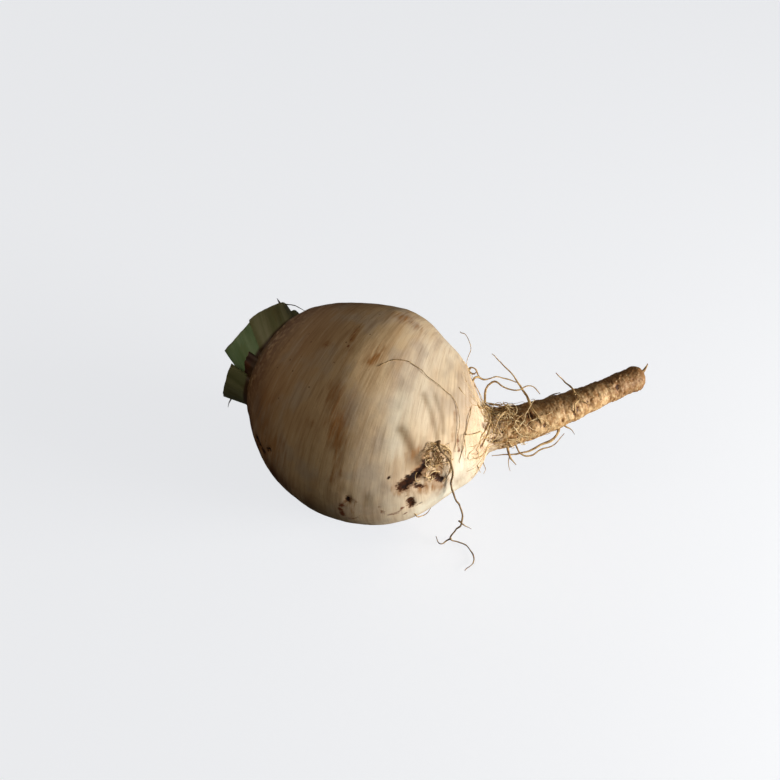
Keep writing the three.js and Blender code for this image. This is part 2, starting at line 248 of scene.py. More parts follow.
def on_root(along, turn, height=0):
    """Places by the distance along the root, the angle round it and the height above it."""
    point, _, up, front = frame_at(along)
    out = np.maximum(0, plain_radius(along) + relief(along, turn) + height)
    return point + up * (out * np.cos(turn))[..., None] + front * (out * np.sin(turn))[..., None]


def route_on_root(route):
    """The places of a route whose points are along, round in degrees, and height or none."""
    along, around = np.array([point[:2] for point in route], float).T
    height = np.array([point[2] if len(point) > 2 else 0 for point in route], float)
    return on_root(along, np.radians(around), height)


bulb_turns = np.linspace(0, BULB_TURN, BULB_RINGS, endpoint=False)
tip_turns = np.linspace(0, math.pi / 2, TIP_RINGS)
stations = np.concatenate((
    BULB_LENGTH / 2 * (1 - np.cos(bulb_turns)),
    np.linspace(
        BULB_LENGTH / 2 * (1 - math.cos(BULB_TURN)),
        ROOT_LENGTH - TIP_ROUNDING,
        TAPROOT_RINGS,
        endpoint=False,
    ),
    ROOT_LENGTH - TIP_ROUNDING * (1 - np.sin(tip_turns)),
))

bpy.ops.mesh.primitive_uv_sphere_add(segments=SIDES, ring_count=len(stations) - 1, radius=1)
skin = bpy.context.object
skin.name = skin.data.name = "root_skin"
ball = np.empty(3 * len(skin.data.vertices))
skin.data.vertices.foreach_get("co", ball)
ball = ball.reshape(-1, 3)
ring_number = np.arccos(np.clip(ball[:, 2], -1, 1)) / math.pi * (len(stations) - 1)
skin_along = np.interp(ring_number, np.arange(len(stations)), stations)
skin_turn = np.arctan2(-ball[:, 1], ball[:, 0])
skin_places = on_root(skin_along, skin_turn)


def beside(route, size):
    """How near each point of the skin is to a route: 1 on it, and 0 well off it."""
    ends = np.array(route, float)
    fine = np.linspace(0, len(ends) - 1, 8 * len(ends) - 7)
    numbers = np.arange(len(ends))
    places = route_on_root(np.stack([np.interp(fine, numbers, ends[:, k]) for k in (0, 1)], -1))
    nearest = np.full(len(skin_places), 1e3)
    for place in places:
        nearest = np.minimum(nearest, np.linalg.norm(skin_places - place, axis=1))
    return hump(nearest, size)


def marked(marks):
    """How strongly each point of the skin carries any of a list of marks."""
    strongest = np.zeros(len(skin_places))
    for size, strength, route in marks:
        strongest = np.maximum(strongest, strength * beside(route, size))
    return strongest


def rough(places, size):
    """Uneven heights from about -1 to 1, with lumps of a size in millimetres."""
    return np.array([noise.noise(Vector(place) / size) for place in places])


# The seeds of what is drawn by rule, and of how the rootlets sway
draw = random.Random(5)
noise.seed_set(5)

stain = marked(STAINS)
cork = marked(CORK)
crease = marked(CREASES)

# Each groove runs most of the way round, wanders a little along the root, and has gaps
groove = np.zeros(len(skin_places))
for i in range(GROOVES):
    along = NECK_ALONG - 4 + (ROOT_LENGTH - NECK_ALONG + 2) * (i + 0.7 * draw.random()) / GROOVES
    wander = GROOVE_WANDER * np.sin(skin_turn * draw.choice((1, 2)) + draw.uniform(0, 6))
    line = hump(skin_along - along - wander, draw.uniform(*GROOVE_WIDTH))
    middle = draw.uniform(0, 2 * math.pi)
    length = np.clip(0.75 + 0.9 * np.cos(skin_turn - middle), 0, 1)
    groove = np.maximum(groove, line * length * draw.uniform(0.3, 1))
groove *= np.clip(0.75 + 1.6 * rough(skin_places, 3.5), 0, 1)

pit = np.zeros(len(skin_places))
pits = list(PITS)
for _ in range(PIT_COUNT):
    deep = draw.uniform(*PIT_DEEP)
    place = draw.uniform(*PIT_ALONG), draw.uniform(*PIT_ROUND)
    pits.append((*place, PIT_LENGTH * deep, PIT_WIDTH * deep, deep))
for along, around, half_length, half_width, deep in pits:
    off = (skin_turn - math.radians(around) + math.pi) % (2 * math.pi) - math.pi
    off = off * plain_radius(skin_along)
    away = np.hypot(off / half_length, (skin_along - along) / half_width)
    pit = np.maximum(pit, deep * hump(away, 1))

# The relief: lumps, bark, the collar, creases, grooves and pits, and the sunk, lumpy cork.
# The poles stay on the middle line, and nothing goes under the table.
thickness = np.clip(plain_radius(skin_along) / FULL_RADIUS, 0.3, 1)
lumps = rough(skin_places, UNEVEN_SIZE) * UNEVEN_HEIGHT * thickness
lumps += rough(skin_places, FINE_LUMPS[0]) * FINE_LUMPS[1]
bark = np.clip((skin_along - NECK_ALONG + 2) / 8, 0, 1)
lumps += bark * sum(high * rough(skin_places, size) for size, high in BARK_LUMPS)
collar = hump(skin_along - COLLAR_ALONG - rough(skin_places, 6), COLLAR_WIDTH)
height = lumps - COLLAR_DEPTH * collar - CREASE_DEPTH * crease
height -= GROOVE_DEPTH * groove + PIT_PRESS * pit
height += cork * (CORK_LUMP * rough(skin_places, 1.3) - CORK_DEPTH)
on_axis = np.hypot(ball[:, 0], ball[:, 1]) < 1e-6
skin_places = on_root(skin_along, skin_turn, height)
skin_places[on_axis] = frame_at(skin_along[on_axis])[0]
skin_places[:, 2] = np.maximum(skin_places[:, 2], 0)
skin.data.vertices.foreach_set("co", (skin_places * MM).ravel())
skin.data.update()
bpy.ops.object.shade_smooth()


def give(piece, name, values):
    """Gives each point of a piece a value, or three, for its material to read."""
    values = np.asarray(values, float)
    kind = "FLOAT" if values.ndim == 1 else "FLOAT_VECTOR"
    attribute = piece.data.attributes.new(name, kind, "POINT")
    attribute.data.foreach_set("value" if kind == "FLOAT" else "vector", values.ravel())


# Where each point of the skin would be if the root were straight, in millimetres
out = plain_radius(skin_along)
straight = np.stack((skin_along, out * np.cos(skin_turn), out * np.sin(skin_turn)), -1)
give(skin, "straight", straight)
give(skin, "stain", stain)
give(skin, "cork", np.maximum(cork, 0.8 * pit))
give(skin, "crease", crease)
give(skin, "groove", groove)
give(skin, "dim", marked(STAIN_AND_SHADE_PATCHES))
give(skin, "rust", marked(RUST))
give(skin, "pale", marked(PALE_AND_PAINTED_LIGHT))


def colour(hex_code):
    """A colour as the shader takes it, from its usual #rrggbb."""
    parts = [int(hex_code[i : i + 2], 16) / 255 for i in (1, 3, 5)]
    linear = [
        part / 12.92 if part <= 0.04045 else ((part + 0.055) / 1.055) ** 2.4
        for part in parts
    ]
    return (*linear, 1)


def add(tree, kind, inputs=None, **settings):
    """Adds a node with its settings, and sets or links its inputs."""
    node = tree.nodes.new("ShaderNode" + kind)
    for name, value in settings.items():
        setattr(node, name, value)
    for name, value in (inputs or {}).items():
        if isinstance(value, bpy.types.NodeSocket):
            tree.links.new(value, node.inputs[name])
        else:
            node.inputs[name].default_value = value
    return node


def new_finish(name):
    """A material with only its shader, and that shader."""
    finish = bpy.data.materials.new(name)
    finish.use_nodes = True
    return finish, finish.node_tree, finish.node_tree.nodes["Principled BSDF"]


def tint(tree, share, under, over, blend="MIX"):
    """One colour over another, by a share that may change over the surface."""
    inputs = {0: share, 6: under, 7: over}
    return add(tree, "Mix", inputs, data_type="RGBA", blend_type=blend).outputs[2]


def rise(tree, value, low, high, top=1.0):
    """0 below a low value, rising smoothly to a top at a high one."""
    limits = {"Value": value, "From Min": low, "From Max": high, "To Max": top}
    return add(tree, "MapRange", limits, interpolation_type="SMOOTHSTEP").outputs[0]


def grain(tree, places, cell, detail=3.0):
    """Noise whose cells measure so many millimetres along each of three ways."""
    per_cell = tuple(1 / size for size in cell)
    stretched = add(tree, "VectorMath", {0: places, 1: per_cell}, operation="MULTIPLY")
    wanted = {"Vector": stretched.outputs[0], "Scale": 1.0, "Detail": detail}
    return add(tree, "TexNoise", wanted).outputs["Fac"]


def product(tree, one, other):
    return add(tree, "Math", {0: one, 1: other}, operation="MULTIPLY").outputs[0]


def ragged(tree, mask, noise_value, low, high):
    """A mask with its soft edge broken up by noise."""
    centred = {0: noise_value, 1: 1.4, 2: -0.7}
    shaken = add(tree, "Math", centred, operation="MULTIPLY_ADD").outputs[0]
    both = add(tree, "Math", {0: mask, 1: shaken}, operation="ADD").outputs[0]
    near = rise(tree, mask, 0.05, 0.3)
    return product(tree, rise(tree, both, low, high), near)


# Turnip skin: a thin, smooth, slightly waxy cork layer. It gives the eye a soft cream with
# fine broken streaks round the root, brown stains, and a dull brown, ringed taproot.
skin_finish, tree, shader = new_finish("turnip_skin_cream")
places = add(tree, "Attribute", attribute_name="straight").outputs["Vector"]
axes = add(tree, "SeparateXYZ", {0: places}).outputs
along, upward, forward = axes[0], axes[1], axes[2]
masks = {
    name: add(tree, "Attribute", attribute_name=name).outputs["Fac"]
    for name in ("stain", "cork", "crease", "groove", "dim", "rust", "pale")
}
soft = grain(tree, places, (26, 26, 26), 2)
streaks = grain(tree, places, (1.1, 18, 18), 3)
fine = grain(tree, places, (0.4, 9, 9), 2)
bands = grain(tree, places, (4, 20, 20), 4)
fibre = grain(tree, places, (0.9, 7, 7), 4)
mottle = grain(tree, places, (2.2, 2.2, 2.2), 4)
patches = grain(tree, places, (10, 15, 15), 3)

surface = tint(tree, rise(tree, soft, 0.35, 0.65), colour("#f3e6cf"), colour("#e7d2b1"))

# Towards the crown the skin is browner and speckled: partly real staining, and partly
# painted shade, as the crown end is the side away from the light
crown_stain_and_shade = add(tree, "Math", {0: along, 1: product(tree, patches, 26.0)}, operation="ADD").outputs[0]
surface = tint(tree, rise(tree, crown_stain_and_shade, 96, 60), surface, colour("#d2b78f"))
surface = tint(tree, rise(tree, crown_stain_and_shade, 68, 34), surface, colour("#b5926b"))
surface = tint(tree, rise(tree, patches, 0.46, 0.68, 0.65), surface, colour("#b8a795"))
surface = tint(tree, rise(tree, bands, 0.42, 0.75, 0.28), surface, colour("#cda67c"), "MULTIPLY")
surface = tint(tree, rise(tree, streaks, 0.46, 0.7, 0.28), surface, colour("#b89778"), "MULTIPLY")
surface = tint(tree, rise(tree, fine, 0.48, 0.72, 0.22), surface, colour("#b3946c"), "MULTIPLY")
surface = tint(tree, rise(tree, streaks, 0.44, 0.28, 0.1), surface, colour("#fff6e2"))
# Near-white patches: partly clean skin, and partly painted light where the light falls brightest
clean_and_painted_light = product(tree, masks["pale"], rise(tree, bands, 0.75, 0.4))
surface = tint(tree, clean_and_painted_light, surface, colour("#fffbe9"))
# Dark brown patches: partly stains, and partly painted shade on the side away from the light
stain_and_painted_shade = product(tree, masks["dim"], rise(tree, bands, 0.2, 0.6))
surface = tint(tree, stain_and_painted_shade, surface, colour("#5c3313"))
# Browner still by the crown: partly staining, and partly painted shade
crown_brown_and_shade = product(tree, rise(tree, along, 24, 7), rise(tree, mottle, 0.25, 0.6))
surface = tint(tree, crown_brown_and_shade, surface, colour("#6a4119"))
collar_share = ragged(tree, rise(tree, along, 14, 5), mottle, 0.45, 0.8)
corky = tint(tree, rise(tree, mottle, 0.4, 0.62), colour("#3a200f"), colour("#7a5730"))
surface = tint(tree, collar_share, surface, corky)

# Marks: painted shade in the creases, stains broken up along the streaks, rust lines, and
# specks about 3 mm apart
surface = tint(tree, masks["crease"], surface, colour("#8f7c60"), "MULTIPLY")
surface = tint(tree, ragged(tree, masks["stain"], fibre, 0.1, 0.9), surface, colour("#9c6d3c"))
surface = tint(tree, ragged(tree, masks["rust"], mottle, 0.25, 0.7), surface, colour("#7c4019"))
SPECK_SPACING = 3.4
per_speck = (1 / SPECK_SPACING,) * 3
cells = add(tree, "VectorMath", {0: places, 1: per_speck}, operation="MULTIPLY")
dots = add(tree, "TexVoronoi", {"Vector": cells.outputs[0], "Scale": 1.0})
sparse = add(tree, "SeparateXYZ", {0: dots.outputs["Color"]}).outputs[0]
dot = rise(tree, dots.outputs["Distance"], 0.15, 0.07)
near_crown = rise(tree, along, 60, 22, 0.5)
kept = add(tree, "Math", {0: sparse, 1: near_crown}, operation="LESS_THAN").outputs[0]
surface = tint(tree, product(tree, product(tree, dot, kept), 0.6), surface, colour("#5e3c1a"))

# The taproot is browner, with dark broken rings, and darker above and behind than below:
# partly its own bark, and partly painted shade on the side away from the light
woody = tint(tree, rise(tree, mottle, 0.35, 0.65), colour("#dbbd90"), colour("#ab8353"))
rings = grain(tree, places, (0.9, 7, 7), 4)
woody = tint(tree, rise(tree, rings, 0.52, 0.68, 0.6), woody, colour("#8f6438"))
# Darker on the upper, far side: partly bark, and partly painted shade
back = add(tree, "Math", {0: upward, 1: forward}, operation="SUBTRACT").outputs[0]
bark_and_painted_shade = add(tree, "Math", {0: back, 1: product(tree, fibre, 7.0)}, operation="ADD").outputs[0]
woody = tint(tree, rise(tree, bark_and_painted_shade, 1.5, 8.5, 0.72), woody, colour("#755532"))
woody = tint(tree, rise(tree, along, 144, 158, 0.65), woody, colour("#7b5632"))
bits = grain(tree, places, (0.8, 1.6, 1.6), 4)
woody = tint(tree, rise(tree, bits, 0.55, 0.68, 0.75), woody, colour("#663f1d"))
woody = tint(tree, rise(tree, bits, 0.42, 0.3, 0.5), woody, colour("#f0dab2"))
woody = tint(tree, product(tree, masks["groove"], 0.45), woody, colour("#5a3a1c"))
rooted = add(tree, "Math", {0: along, 1: product(tree, mottle, 10.0)}, operation="ADD").outputs[0]
surface = tint(tree, rise(tree, rooted, 102, 112), surface, woody)

# Thin tan veins on the neck, and corky scars with a paler, crumbled rim
veins = grain(tree, places, (1.1, 1.1, 1.1), 2)
on_vein = add(tree, "Math", {0: veins, 1: 0.5, 2: 0.018}, operation="COMPARE").outputs[0]
vein = rise(tree, on_vein, 0, 1)
near_neck = product(tree, rise(tree, along, 88, 94), rise(tree, along, 106, 100))
surface = tint(tree, product(tree, product(tree, vein, near_neck), 0.5), surface, colour("#b27a3c"))
cork_colour = tint(tree, rise(tree, mottle, 0.4, 0.6), colour("#45230c"), colour("#1d0d07"))
crumbs = grain(tree, places, (0.9, 0.9, 0.9), 4)
cork_rim = ragged(tree, masks["cork"], crumbs, 0.0, 0.5)
surface = tint(tree, product(tree, cork_rim, 0.6), surface, colour("#8a5527"))
surface = tint(tree, ragged(tree, masks["cork"], crumbs, 0.2, 0.65), surface, cork_colour)

tree.links.new(surface, shader.inputs["Base Color"])
gloss = add(tree, "MapRange", {"Value": streaks, "To Min": 0.5, "To Max": 0.72}).outputs[0]
tree.links.new(gloss, shader.inputs["Roughness"])
shader.inputs["IOR"].default_value = 1.38
bumps = add(tree, "Math", {0: fibre, 1: mottle}, operation="ADD").outputs[0]
bump = add(tree, "Bump", {"Height": bumps, "Strength": 0.25, "Distance": 0.3 * MM})
tree.links.new(bump.outputs[0], shader.inputs["Normal"])
skin.data.materials.append(skin_finish)
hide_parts("root")
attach(skin, "root")

# Leaf stalks: what is left of the leaves after a knife took them off. Each is a fleshy,
# ribbed, crescent-shaped stalk, green outside, pale and drying brown where it is cut.
# They grow from the crown, so their feet go into its skin.

# Each is given by the angle round the crown, how far out it stands, how far it spreads to
# each side in degrees, its thickness and height, how its cut rises, and its lean and twist.
STALK_VALUES = ("round", "out", "spread", "thick", "height", "rise", "lean", "twist")
STALKS = [
    (5, 17, 38, 6.5, 4.9, 0.1, 0.1, 2),
    (69, 15, 31, 5.5, 7.6, 0.15, 0.1, 2),
    (108, 20.3, 36, 5, 2.5, 0.15, 0.3, 0.5),
    (163, 17.5, 17, 6, 3, 0.15, 0.2, 0),
    (200, 18, 18, 5.5, 2.5, -0.1, 0.2, 0),
    (241, 17, 19, 6, 4, 0.2, 0.15, 0),
    (284, 17, 20, 5.5, 2.5, -0.2, 0.15, 0),
    (175, 8, 50, 5, 7, 0.1, 0.05, 1),
    (305, 8, 52, 5.5, 8, -0.1, 0.05, 1),
]
STALK_CUTS = 25
STALK_FOOT = 6
STALK_SUNK = 2
STALK_RIBS = 4.5
STALK_RIB_HEIGHT = 0.12
CUT_SLOPE = 0.3
CUT_UNEVEN = 0.25
CUT_BAND = 0.07
END_THINNING = 0.6
STALK_CURVE = 0.03
FRESH_STALKS = {2}
DRY_STALKS = {3, 5, 7}


def stalk_finish(name, deep, light, dried):
    """Leaf stalk: fibrous green flesh under a thin skin. Strands run up it as fine lines,
    and the cut end has dried to a brown rim round paler pith."""
    finish, tree, shader = new_finish(name)
    places = add(tree, "Attribute", attribute_name="stalk").outputs["Vector"]
    strands = grain(tree, places, (2.4, 18, 6), 3)
    blotches = grain(tree, places, (5, 5, 5), 3)
    surface = tint(tree, rise(tree, strands, 0.35, 0.68), colour(deep), colour(light))
    surface = tint(tree, rise(tree, blotches, 0.5, 0.75, 0.5), surface, colour(dried))
    level = add(tree, "SeparateXYZ", {0: places}).outputs[1]
    surface = tint(tree, rise(tree, level, 1.6, 0.2), surface, colour("#4a3116"))
    cut = add(tree, "Attribute", attribute_name="cut").outputs["Fac"]
    pith = tint(tree, rise(tree, blotches, 0.4, 0.6), colour("#a9a06c"), colour("#6f5a30"))
    surface = tint(tree, rise(tree, cut, 0.2, 0.95), surface, pith)
    tree.links.new(surface, shader.inputs["Base Color"])
    shader.inputs["Roughness"].default_value = 0.5
    bump = add(tree, "Bump", {"Height": strands, "Strength": 0.25, "Distance": 0.3 * MM})
    tree.links.new(bump.outputs[0], shader.inputs["Normal"])
    return finish


fresh = stalk_finish("leaf_stalk_fresh", "#84a878", "#9cbc8e", "#86995a")
fading = stalk_finish("leaf_stalk_fading", "#878b60", "#9fa07a", "#8a7d4c")
dry = stalk_finish("leaf_stalk_dry", "#747b50", "#8f936a", "#6f6439")

crown_along = np.linspace(0, 40, 200)
crown_point, crown_ahead, crown_up, crown_front = frame_at(np.array([0.0]))


def at_crown(around, out, level):
    """Places by the angle round the crown, how far out from its middle, and how high."""
    sides = crown_up * np.cos(around)[:, None] + crown_front * np.sin(around)[:, None]
    return crown_point + sides * out[:, None] - crown_ahead * level[:, None]


def leaf_stalk(name, values, torn, finish, node):
    """A curved slice that stands on the crown, with its top cut and torn unevenly."""
    stalk = dict(zip(STALK_VALUES, values))
    bpy.ops.mesh.primitive_cube_add(size=2)
    piece = bpy.context.object
    piece.name = piece.data.name = name
    bpy.ops.object.mode_set(mode="EDIT")
    bpy.ops.mesh.subdivide(number_cuts=STALK_CUTS)
    bpy.ops.object.mode_set(mode="OBJECT")
    cube = np.empty(3 * len(piece.data.vertices))
    piece.data.vertices.foreach_get("co", cube)
    through, side, rising = cube.reshape(-1, 3).T
    angle = np.radians(stalk["spread"]) * side * (1 - STALK_CURVE * through**2)
    half = stalk["thick"] / 2 * (1 - END_THINNING * np.abs(side) ** 4)
    ribs = STALK_RIB_HEIGHT * np.cos(math.pi * STALK_RIBS * side) * (through + 1) / 2
    radius = stalk["out"] + through * half + ribs
    outward = radius * np.cos(angle)
    across = radius * np.sin(angle)
    foot = -np.interp(radius, plain_radius(crown_along), crown_along)
    uneven = [
        noise.noise(Vector((a / 3, o / 3, stalk["round"]))) + 0.4 * noise.noise(Vector((a, o, 0)))
        for a, o in zip(across, outward)
    ]
    top = stalk["height"] - CUT_SLOPE * (outward - stalk["out"]) - stalk["rise"] * across
    top = np.maximum(top + torn * np.array(uneven), foot + 1)
    share = (rising + 1) / 2
    level = foot - STALK_SUNK + share * (top - foot + STALK_SUNK)
    above = np.maximum(0, level + STALK_FOOT)
    turned = np.radians(stalk["round"] - stalk["twist"] * above) - angle
    places = at_crown(turned, radius + stalk["lean"] * above, level)
    piece.data.vertices.foreach_set("co", (places * MM).ravel())
    piece.data.update()
    bpy.ops.object.mode_set(mode="EDIT")
    bpy.ops.mesh.select_all(action="SELECT")
    bpy.ops.mesh.normals_make_consistent(inside=False)
    bpy.ops.object.mode_set(mode="OBJECT")
    bpy.ops.object.shade_smooth_by_angle(angle=math.radians(50))
    give(piece, "stalk", np.stack((across, level - foot, through * half), -1))
    give(piece, "cut", np.clip((rising - (1 - CUT_BAND)) / CUT_BAND, 0, 1))
    piece.data.materials.append(finish)
    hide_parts(node)
    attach(piece, "root")


for number, values in enumerate(STALKS, 1):
    finish = fresh if number in FRESH_STALKS else dry if number in DRY_STALKS else fading
    leaf_stalk(f"stalk_{number}", values, CUT_UNEVEN, finish, f"leaf_stub_{number}")

# The torn base: what is left where a leaf was torn off in front of the freshest stalk. It is
# a low ragged rim of dark, half-rotted flesh that grew from the crown as the stalks did. Its
# near-black blotches are painted shade, for the dark hollow in the torn flesh.
TORN_BASE = (72, 18.8, 24, 2, -2.4, -0.1, 0, 0)
TORN_UNEVEN = 1.5
# Dark red-brown flesh, with near-black painted shade for the hollow in it
rot_and_hollow_shade = stalk_finish("leaf_base_rot_and_hollow_shade", "#34140a", "#64391c", "#120704")
leaf_stalk("torn_base", TORN_BASE, TORN_UNEVEN, rot_and_hollow_shade, "leaf_stub_2")

# Rootlets: thin, wiry side roots that sprout from the neck and the taproot, tan where they
# have dried and cream where they are fresh. They taper, and grow out from under the skin.
# The routes of the larger ones are those of the solids: a thickness, and places by the
# distance along the root, the angle round it and the height above its skin.
ROOTLETS = [
    (1.8, [
        (118, 20, -3), (118, -22, 1), (117.5, -48, 5.5),
        (116, -47, 10), (112.5, -46, 15.5), (107.5, -45, 21),
    ]),
    (1.5, [(136, 27, -3), (136.5, -10, 1), (136.5, -50, 3.5), (134, -50, 8.5)]),
    (1.5, [(94, -30, -3), (97, -38, 6.5), (101.5, -43, 10.5), (107, -46, 12), (116, -48, 9)]),
    (1.3, [(92, -42, -3), (95, -40, 5), (98.5, -43, 10), (101, -43, 10.5)]),
    (1.4, [
        (99, -30, -3), (104.5, -47, 10), (110, -46, 7.5),
        (115, -47, 6), (121.5, -48, 6), (124, -50, 2),
    ]),
    (1.4, [(94, 2, -3), (97, 8, 1.5), (101, -8, 1.5), (103, 20, 0.5)]),
    (1.2, [(107, -14, -3), (106.5, 3, 1.5), (101.5, 38, 1.5), (99.5, 74, 1)]),
    (1.8, [
        (128, 112, -3), (124.5, 127, 2), (116.5, 129, 3.3),
        (110, 131, 3.6), (105.5, 133, 2.8), (99.5, 134, 1.5),
    ]),
    (1.1, [(108, 122, -3), (111, 130, 5), (117.5, 130, 5), (124, 129, 4.5), (128, 127, 2.5)]),
    (2, [(105.5, 118, -3), (106, 130, 4), (107.5, 131, 7.5)]),
    (1.7, [(119.4, 66, -1), (119, 50, 0.5), (118, 20, 0.7), (118, -10, 0.4)]),
    (1.2, [(133.4, 74, -1), (133, 58, 0.5), (134.2, 38, 0.7), (136.6, 26, 0.8), (136.6, 0, 0.6)]),
    (1, [(140.4, 66, -1), (139, 50, 0.4), (137.4, 34, 0.6), (136.6, 14, 0.6)]),
    (1.1, [(93.8, 92, -1), (97, 60, 0.5), (100.6, 28, 0.7), (101.6, 0, 0.6), (100, -34, 0.4)]),
]
THIN_END = 0.35
SLIMMER = 0.75

# How low a rootlet's route and its surface may lie over the table, and how rootlets sway:
# the length of each sway, and how far it goes
LOWEST_POINT = 0.6
LOWEST_SURFACE = 0.05
SWAYS = [(5, 0.5), (1.6, 0.12)]

# The hanging rootlet starts on the bulb's skin, and then hangs free and lies on the table.
# Its free places are those of the frame, in millimetres, and so are its twigs'.
HANGING_THICK = (1.1, 0.4)
TWIG_THICK = (0.7, 0.3)
HANGING_START = [
    (83.5, 48, -3), (83.5, 54, 2.5), (85.5, 61, 3.5), (87, 69, 3.5), (87.3, 78, 3), (86.7, 91, 2),
]
HANGING_FREE = [
    (34, -36, 31), (36.5, -35, 24), (37, -35, 15), (35, -34, 9.5), (33.5, -33.5, 3),
    (36, -33, 1.2), (40.5, -36.5, 0.9), (42.5, -41, 0.9), (41.5, -44.5, 0.9), (38.5, -47.5, 0.9),
]
HANGING_TWIGS = [
    [(36, -35, 17), (38.5, -35.3, 14), (41, -35.5, 12)],
    [(33.5, -33.5, 4), (31.5, -33, 1.5), (29, -34, 1), (27.5, -31, 2.5)],
]

# The rootlets of the hidden side, drawn by the same rule as in the solids
RINGS_BEFORE = 17
HIDDEN_COUNT = 14
HIDDEN_ALONG = (97, 128)
HIDDEN_ROUND = (190, 250)
HIDDEN_REACH = (4, 8)
HIDDEN_THICK = (1.2, 1.8)
HIDDEN_CURL = 15
HIDDEN_TO_NECK = 0.6


def lcg(state):
    """The same seeded numbers from 0 to 1 as the solids were drawn with."""
    while True:
        state = (state * 1664525 + 1013904223) % 4294967296
        yield state / 4294967296


def between(limits, share):
    return limits[0] + (limits[1] - limits[0]) * share


def threads(name, routes, finish):
    """A piece of thin tapered rods, each given as its places, its thick and its thin end."""
    curve = bpy.data.curves.new(name, "CURVE")
    curve.dimensions = "3D"
    curve.bevel_depth = MM / 2
    curve.bevel_resolution = 1
    curve.resolution_u = 6
    curve.use_fill_caps = True
    for points, thick, thin in routes:
        spline = curve.splines.new("BEZIER")
        spline.bezier_points.add(len(points) - 1)
        for i, (knot, point) in enumerate(zip(spline.bezier_points, points)):
            knot.co = Vector((point[0], point[1], max(point[2], LOWEST_POINT))) * MM
            knot.handle_left_type = knot.handle_right_type = "AUTO"
            knot.radius = between((thick, thin), i / (len(points) - 1))
    piece = bpy.data.objects.new(name, curve)
    bpy.context.collection.objects.link(piece)
    bpy.ops.object.select_all(action="DESELECT")
    piece.select_set(True)
    bpy.context.view_layer.objects.active = piece
    bpy.ops.object.convert(target="MESH")
    piece = bpy.context.object
    for vertex in piece.data.vertices:
        sway = sum((noise.noise_vector(vertex.co / (size * MM)) * far for size, far in SWAYS), Vector())
        vertex.co += sway * MM
        vertex.co.z = max(vertex.co.z, LOWEST_SURFACE * MM)
    bpy.ops.object.shade_smooth()
    piece.data.materials.append(finish)
    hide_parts("root")
    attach(piece, "root")


def rootlet_finish(name, light, dark):
    """Rootlet: a fibrous strand with a thin papery bark, dull and blotched."""
    finish, tree, shader = new_finish(name)
    places = add(tree, "TexCoord").outputs["Object"]
    mottle = grain(tree, places, (1.5 * MM,) * 3, 3)
    parts = grain(tree, places, (9 * MM,) * 3, 1)
    surface = tint(tree, rise(tree, mottle, 0.35, 0.7), colour(light), colour(dark))
    surface = tint(tree, rise(tree, parts, 0.5, 0.75, 0.7), surface, colour(dark))
    tree.links.new(surface, shader.inputs["Base Color"])
    shader.inputs["Roughness"].default_value = 0.7
    return finish


tan = rootlet_finish("rootlet_tan", "#cfb07c", "#85653c")
cream = rootlet_finish("rootlet_cream", "#f0dcb0", "#c4a068")
brown = rootlet_finish("rootlet_brown", "#ac9066", "#6d543a")

# The solids draw three numbers for each ring before they come to the rootlets
share = lcg(7)
for _ in range(3 * RINGS_BEFORE):
    next(share)
strong = [(route_on_root(route), SLIMMER * thick, THIN_END) for thick, route in ROOTLETS]
for i in range(HIDDEN_COUNT):
    side = (i + next(share)) / HIDDEN_COUNT
    along = between(HIDDEN_ALONG, next(share))
    around = between(HIDDEN_ROUND, side)
    reach = between(HIDDEN_REACH, next(share))
    heading = -1 if next(share) < HIDDEN_TO_NECK else 1
    curl = HIDDEN_CURL * (2 * next(share) - 1)
    route = [
        (along, around, -3),
        (along + heading, around + 0.2 * curl, 0.35 * reach),
        (along + 4 * heading, around + 0.6 * curl, 0.75 * reach),
        (along + 8 * heading, around + curl, reach),
        (along + 11 * heading, around + 1.6 * curl, 0.9 * reach),
    ]
    strong.append((route_on_root(route), between(HIDDEN_THICK, next(share)), THIN_END))
threads("rootlets", strong, tan)

hanging = [(np.concatenate((route_on_root(HANGING_START), HANGING_FREE)), *HANGING_THICK)]
hanging += [(twig, *TWIG_THICK) for twig in HANGING_TWIGS]
threads("hanging_rootlet", hanging, brown)

# The tangle on the neck: dozens of fine fresh rootlets that wander over the skin, some
# standing off it in loops. Each starts under the skin and is drawn by rule.
TANGLES = [("neck_tangle", cream, 44), ("neck_tangle_dry", tan, 14)]
THREAD_END = 0.15
TANGLE_ALONG = (95, 117, 101)
TANGLE_ROUND = (-30, 95)
TANGLE_LIMITS = (91, 126)
TANGLE_STEP = 2
TANGLE_STEPS = (4, 11)
TANGLE_LIFT = (0.3, 1.7)
TANGLE_THICK = (0.25, 0.55)

for name, finish, count in TANGLES:
    tangle = []
    for _ in range(count):
        along = draw.triangular(*TANGLE_ALONG)
        around = draw.uniform(*TANGLE_ROUND)
        course = draw.uniform(0, 2 * math.pi)
        bend = draw.gauss(0, 0.25)
        lift = draw.uniform(*TANGLE_LIFT)
        steps = draw.randint(*TANGLE_STEPS)
        route = [(along, around, -1)]
        for i in range(steps):
            course += bend + draw.gauss(0, 0.4)
            along += TANGLE_STEP * math.cos(course)
            along = min(max(along, TANGLE_LIMITS[0]), TANGLE_LIMITS[1])
            around += math.degrees(TANGLE_STEP * math.sin(course) / float(plain_radius(along)))
            route.append((along, around, 0.2 + lift * math.sin(math.pi * (i + 1) / (steps + 1))))
        tangle.append((route_on_root(route), draw.uniform(*TANGLE_THICK), THREAD_END))
    threads(name, tangle, finish)

